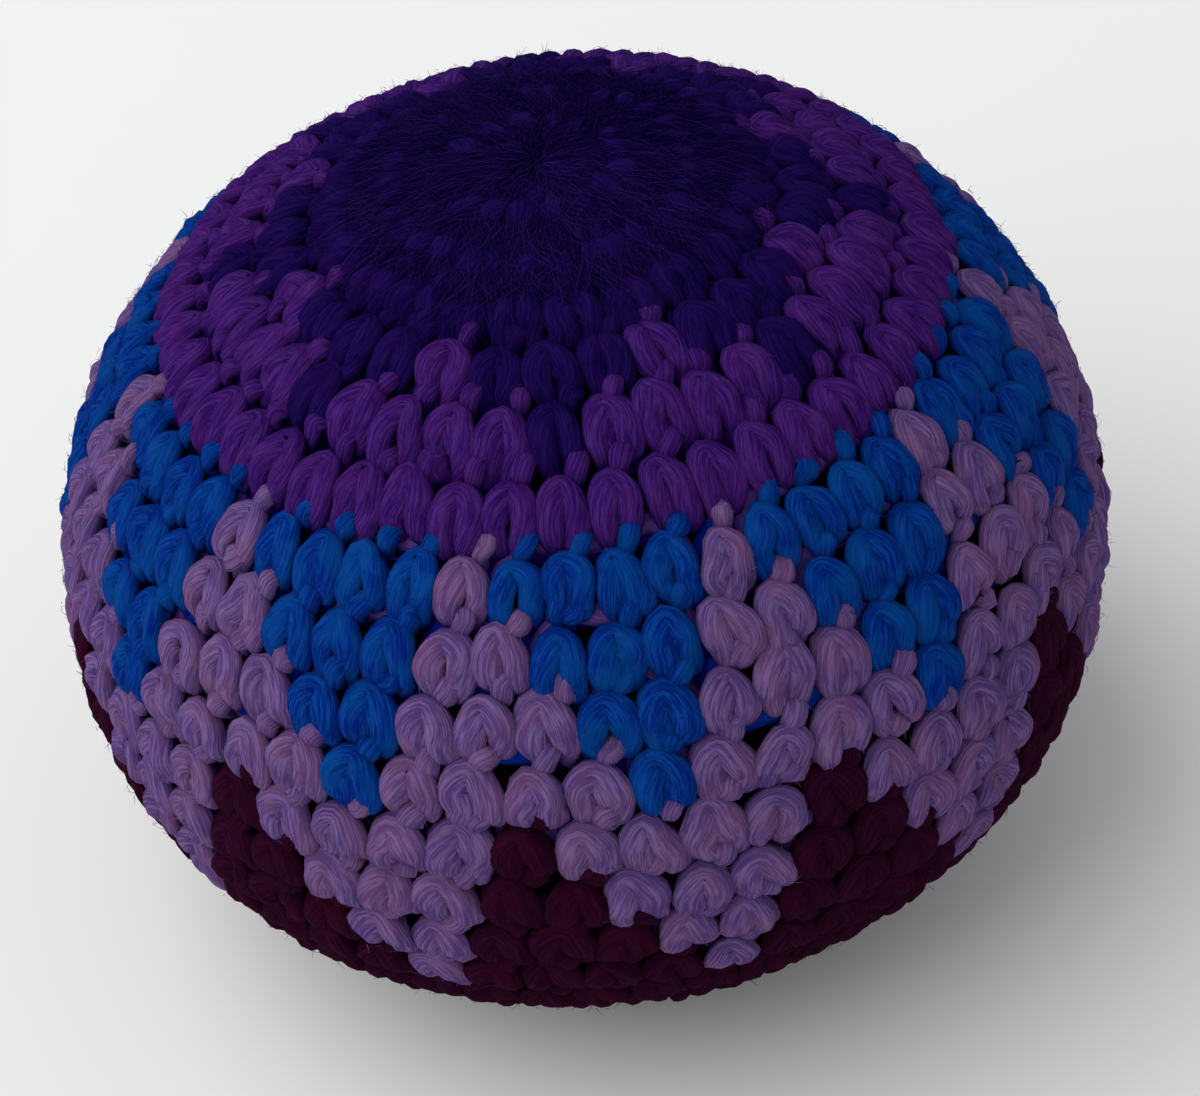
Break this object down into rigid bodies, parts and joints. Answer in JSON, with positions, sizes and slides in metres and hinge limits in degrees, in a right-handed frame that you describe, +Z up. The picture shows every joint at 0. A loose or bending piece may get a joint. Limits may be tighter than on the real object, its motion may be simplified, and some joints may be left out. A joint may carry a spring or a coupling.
{
  "type": "juggling ball",
  "caption": "Soft, slightly flattened crocheted ball filled with pellets, with a dark crown and a band of leaning points, for juggling or kicking.",
  "frame": {"origin": "centre of the flat that the ball rests on", "axes": "+Z up through the crown, where the crochet starts; -Y towards the viewer at azimuth 0; +X to the viewer's right"},
  "size_m": [0.06, 0.06, 0.0481],
  "materials": {
    "dark_purple_yarn": "plied acrylic and wool yarn, matt, slightly fuzzy",
    "violet_yarn": "plied acrylic and wool yarn, matt, slightly fuzzy",
    "blue_yarn": "plied acrylic and wool yarn, matt, slightly fuzzy",
    "mauve_yarn": "plied acrylic and wool yarn, matt, slightly fuzzy",
    "maroon_yarn": "plied acrylic and wool yarn, matt, slightly fuzzy",
    "pouch_knit": "thin stretch knit",
    "tie_thread": "twisted cotton thread",
    "pellet_plastic": "smooth, slightly satin"
  },
  "bodies": {
    "root": {"crown_yarn": "dark_purple_yarn", "start_ring": "dark_purple_yarn", "violet_ring_yarn": "violet_yarn", "blue_point_01": "blue_yarn", "blue_point_02": "blue_yarn", "blue_point_03": "blue_yarn", "blue_point_04": "blue_yarn", "blue_point_05": "blue_yarn", "blue_point_06": "blue_yarn", "blue_point_07": "blue_yarn", "blue_point_08": "blue_yarn", "blue_point_09": "blue_yarn", "blue_point_10": "blue_yarn", "blue_point_11": "blue_yarn", "mauve_zigzag_yarn": "mauve_yarn", "maroon_base_yarn": "maroon_yarn", "closing_knot": "maroon_yarn", "crown_tail": "dark_purple_yarn", "violet_tail": "violet_yarn", "blue_tail": "blue_yarn", "mauve_tail": "mauve_yarn", "maroon_tail": "maroon_yarn", "pouch": "pouch_knit", "pouch_tie": "tie_thread", "pellets": "pellet_plastic"}
  },
  "joints": []
}
